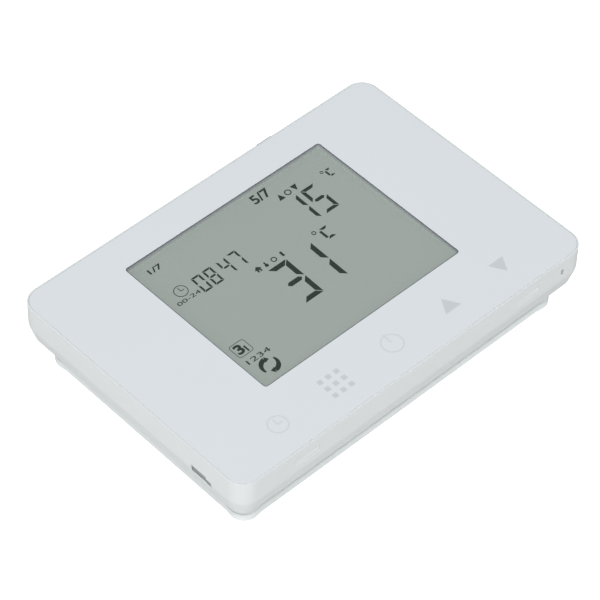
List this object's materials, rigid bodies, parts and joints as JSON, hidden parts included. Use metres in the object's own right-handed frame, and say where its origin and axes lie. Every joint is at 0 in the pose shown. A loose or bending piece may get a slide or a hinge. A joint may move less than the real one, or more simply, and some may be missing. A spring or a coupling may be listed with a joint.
{
  "type": "wall thermostat",
  "caption": "Slim rectangular room thermostat with a flush glossy face, a large liquid crystal display, a row of touch keys and a screw-fixed wall plate.",
  "frame": {"origin": "centre of the wall plate's back plane, which is the centre of the overall box at its base", "axes": "+Z out of the wall and out of the face, +X to the display's right, +Y to the display's top; stored lying on its back"},
  "size_m": [0.12, 0.083, 0.022],
  "materials": {
    "face_white": "glossy cool white",
    "display_lens": "clear polished",
    "housing_white": "semi-gloss white",
    "back_white": "fine matte white",
    "lcd_glass": "grey-green liquid crystal",
    "diffuser": "milky diffuser",
    "elastomer": "matte black",
    "circuit_board": "green solder resist",
    "relay_case": "moulded blue",
    "black_plastic": "moulded black",
    "capacitor_can": "brushed can",
    "sensor_bead": "epoxy bead",
    "screw_steel": "zinc-plated",
    "contact_brass": "bright",
    "terminal_grey": "matte grey"
  },
  "bodies": {
    "wall_plate": {"wall_plate": "back_white", "terminal_block": "terminal_grey"},
    "front_module": {"front_panel": "face_white", "display_lens": "display_lens", "lcd_cell": "lcd_glass", "lcd_holder": "back_white", "backlight_panel": "diffuser", "contact_strip_upper": "elastomer", "contact_strip_lower": "elastomer", "front_housing": "housing_white", "main_board": "circuit_board", "board_screw_1": "screw_steel", "board_screw_2": "screw_steel", "board_screw_3": "screw_steel", "board_screw_4": "screw_steel", "touch_spring_1": "screw_steel", "touch_spring_2": "screw_steel", "touch_spring_3": "screw_steel", "touch_spring_4": "screw_steel", "touch_spring_5": "screw_steel", "relay_1": "relay_case", "relay_2": "relay_case", "relay_3": "relay_case", "controller_chip": "black_plastic", "storage_capacitor": "capacitor_can", "temperature_sensor": "sensor_bead", "reset_switch": "black_plastic", "contact_header": "black_plastic", "contact_blade_1": "contact_brass", "contact_blade_2": "contact_brass", "contact_blade_3": "contact_brass", "contact_blade_4": "contact_brass", "contact_blade_5": "contact_brass", "contact_blade_6": "contact_brass", "rear_cover": "back_white", "cover_screw_1": "screw_steel", "cover_screw_2": "screw_steel", "cover_screw_3": "screw_steel", "cover_screw_4": "screw_steel"},
    "release_tab_left": {"release_tab_left": "housing_white"},
    "release_tab_right": {"release_tab_right": "housing_white"},
    "reset_plunger": {"reset_plunger": "screw_steel"},
    "clamp_1": {"clamp_plate_1": "contact_brass"},
    "screw_1": {"terminal_screw_1": "screw_steel"},
    "clamp_2": {"clamp_plate_2": "contact_brass"},
    "screw_2": {"terminal_screw_2": "screw_steel"},
    "clamp_3": {"clamp_plate_3": "contact_brass"},
    "screw_3": {"terminal_screw_3": "screw_steel"},
    "clamp_4": {"clamp_plate_4": "contact_brass"},
    "screw_4": {"terminal_screw_4": "screw_steel"},
    "clamp_5": {"clamp_plate_5": "contact_brass"},
    "screw_5": {"terminal_screw_5": "screw_steel"},
    "clamp_6": {"clamp_plate_6": "contact_brass"},
    "screw_6": {"terminal_screw_6": "screw_steel"}
  },
  "joints": [
    {"name": "front_lift_off", "type": "slide", "parent": "wall_plate", "child": "front_module", "axis": [0, 0, 1], "range_m": [0, 0.02]},
    {"name": "release_left_press", "type": "slide", "parent": "front_module", "child": "release_tab_left", "axis": [0, 1, 0], "range_m": [0, 0.001], "stiffness_N_per_m": 400},
    {"name": "release_right_press", "type": "slide", "parent": "front_module", "child": "release_tab_right", "axis": [0, 1, 0], "range_m": [0, 0.001], "stiffness_N_per_m": 400},
    {"name": "reset_press", "type": "slide", "parent": "front_module", "child": "reset_plunger", "axis": [0, 1, 0], "range_m": [0, 0.00025], "stiffness_N_per_m": 600},
    {"name": "clamp_1_travel", "type": "slide", "parent": "wall_plate", "child": "clamp_1", "axis": [0, 0, 1], "range_m": [-0.0015, 0]},
    {"name": "screw_1_turn", "type": "hinge", "parent": "clamp_1", "child": "screw_1", "pos_m": [-0.025, -0.0245, 0.007], "axis": [0, 0, 1], "range_deg": [-1080.5, 0]},
    {"name": "clamp_2_travel", "type": "slide", "parent": "wall_plate", "child": "clamp_2", "axis": [0, 0, 1], "range_m": [-0.0015, 0]},
    {"name": "screw_2_turn", "type": "hinge", "parent": "clamp_2", "child": "screw_2", "pos_m": [-0.015, -0.0245, 0.007], "axis": [0, 0, 1], "range_deg": [-1080.5, 0]},
    {"name": "clamp_3_travel", "type": "slide", "parent": "wall_plate", "child": "clamp_3", "axis": [0, 0, 1], "range_m": [-0.0015, 0]},
    {"name": "screw_3_turn", "type": "hinge", "parent": "clamp_3", "child": "screw_3", "pos_m": [-0.005, -0.0245, 0.007], "axis": [0, 0, 1], "range_deg": [-1080.5, 0]},
    {"name": "clamp_4_travel", "type": "slide", "parent": "wall_plate", "child": "clamp_4", "axis": [0, 0, 1], "range_m": [-0.0015, 0]},
    {"name": "screw_4_turn", "type": "hinge", "parent": "clamp_4", "child": "screw_4", "pos_m": [0.005, -0.0245, 0.007], "axis": [0, 0, 1], "range_deg": [-1080.5, 0]},
    {"name": "clamp_5_travel", "type": "slide", "parent": "wall_plate", "child": "clamp_5", "axis": [0, 0, 1], "range_m": [-0.0015, 0]},
    {"name": "screw_5_turn", "type": "hinge", "parent": "clamp_5", "child": "screw_5", "pos_m": [0.015, -0.0245, 0.007], "axis": [0, 0, 1], "range_deg": [-1080.5, 0]},
    {"name": "clamp_6_travel", "type": "slide", "parent": "wall_plate", "child": "clamp_6", "axis": [0, 0, 1], "range_m": [-0.0015, 0]},
    {"name": "screw_6_turn", "type": "hinge", "parent": "clamp_6", "child": "screw_6", "pos_m": [0.025, -0.0245, 0.007], "axis": [0, 0, 1], "range_deg": [-1080.5, 0]}
  ],
  "couplings": [
    {"joint": "screw_1_turn", "follows": "clamp_1_travel", "rad_per_m": 12566},
    {"joint": "screw_2_turn", "follows": "clamp_2_travel", "rad_per_m": 12566},
    {"joint": "screw_3_turn", "follows": "clamp_3_travel", "rad_per_m": 12566},
    {"joint": "screw_4_turn", "follows": "clamp_4_travel", "rad_per_m": 12566},
    {"joint": "screw_5_turn", "follows": "clamp_5_travel", "rad_per_m": 12566},
    {"joint": "screw_6_turn", "follows": "clamp_6_travel", "rad_per_m": 12566}
  ]
}
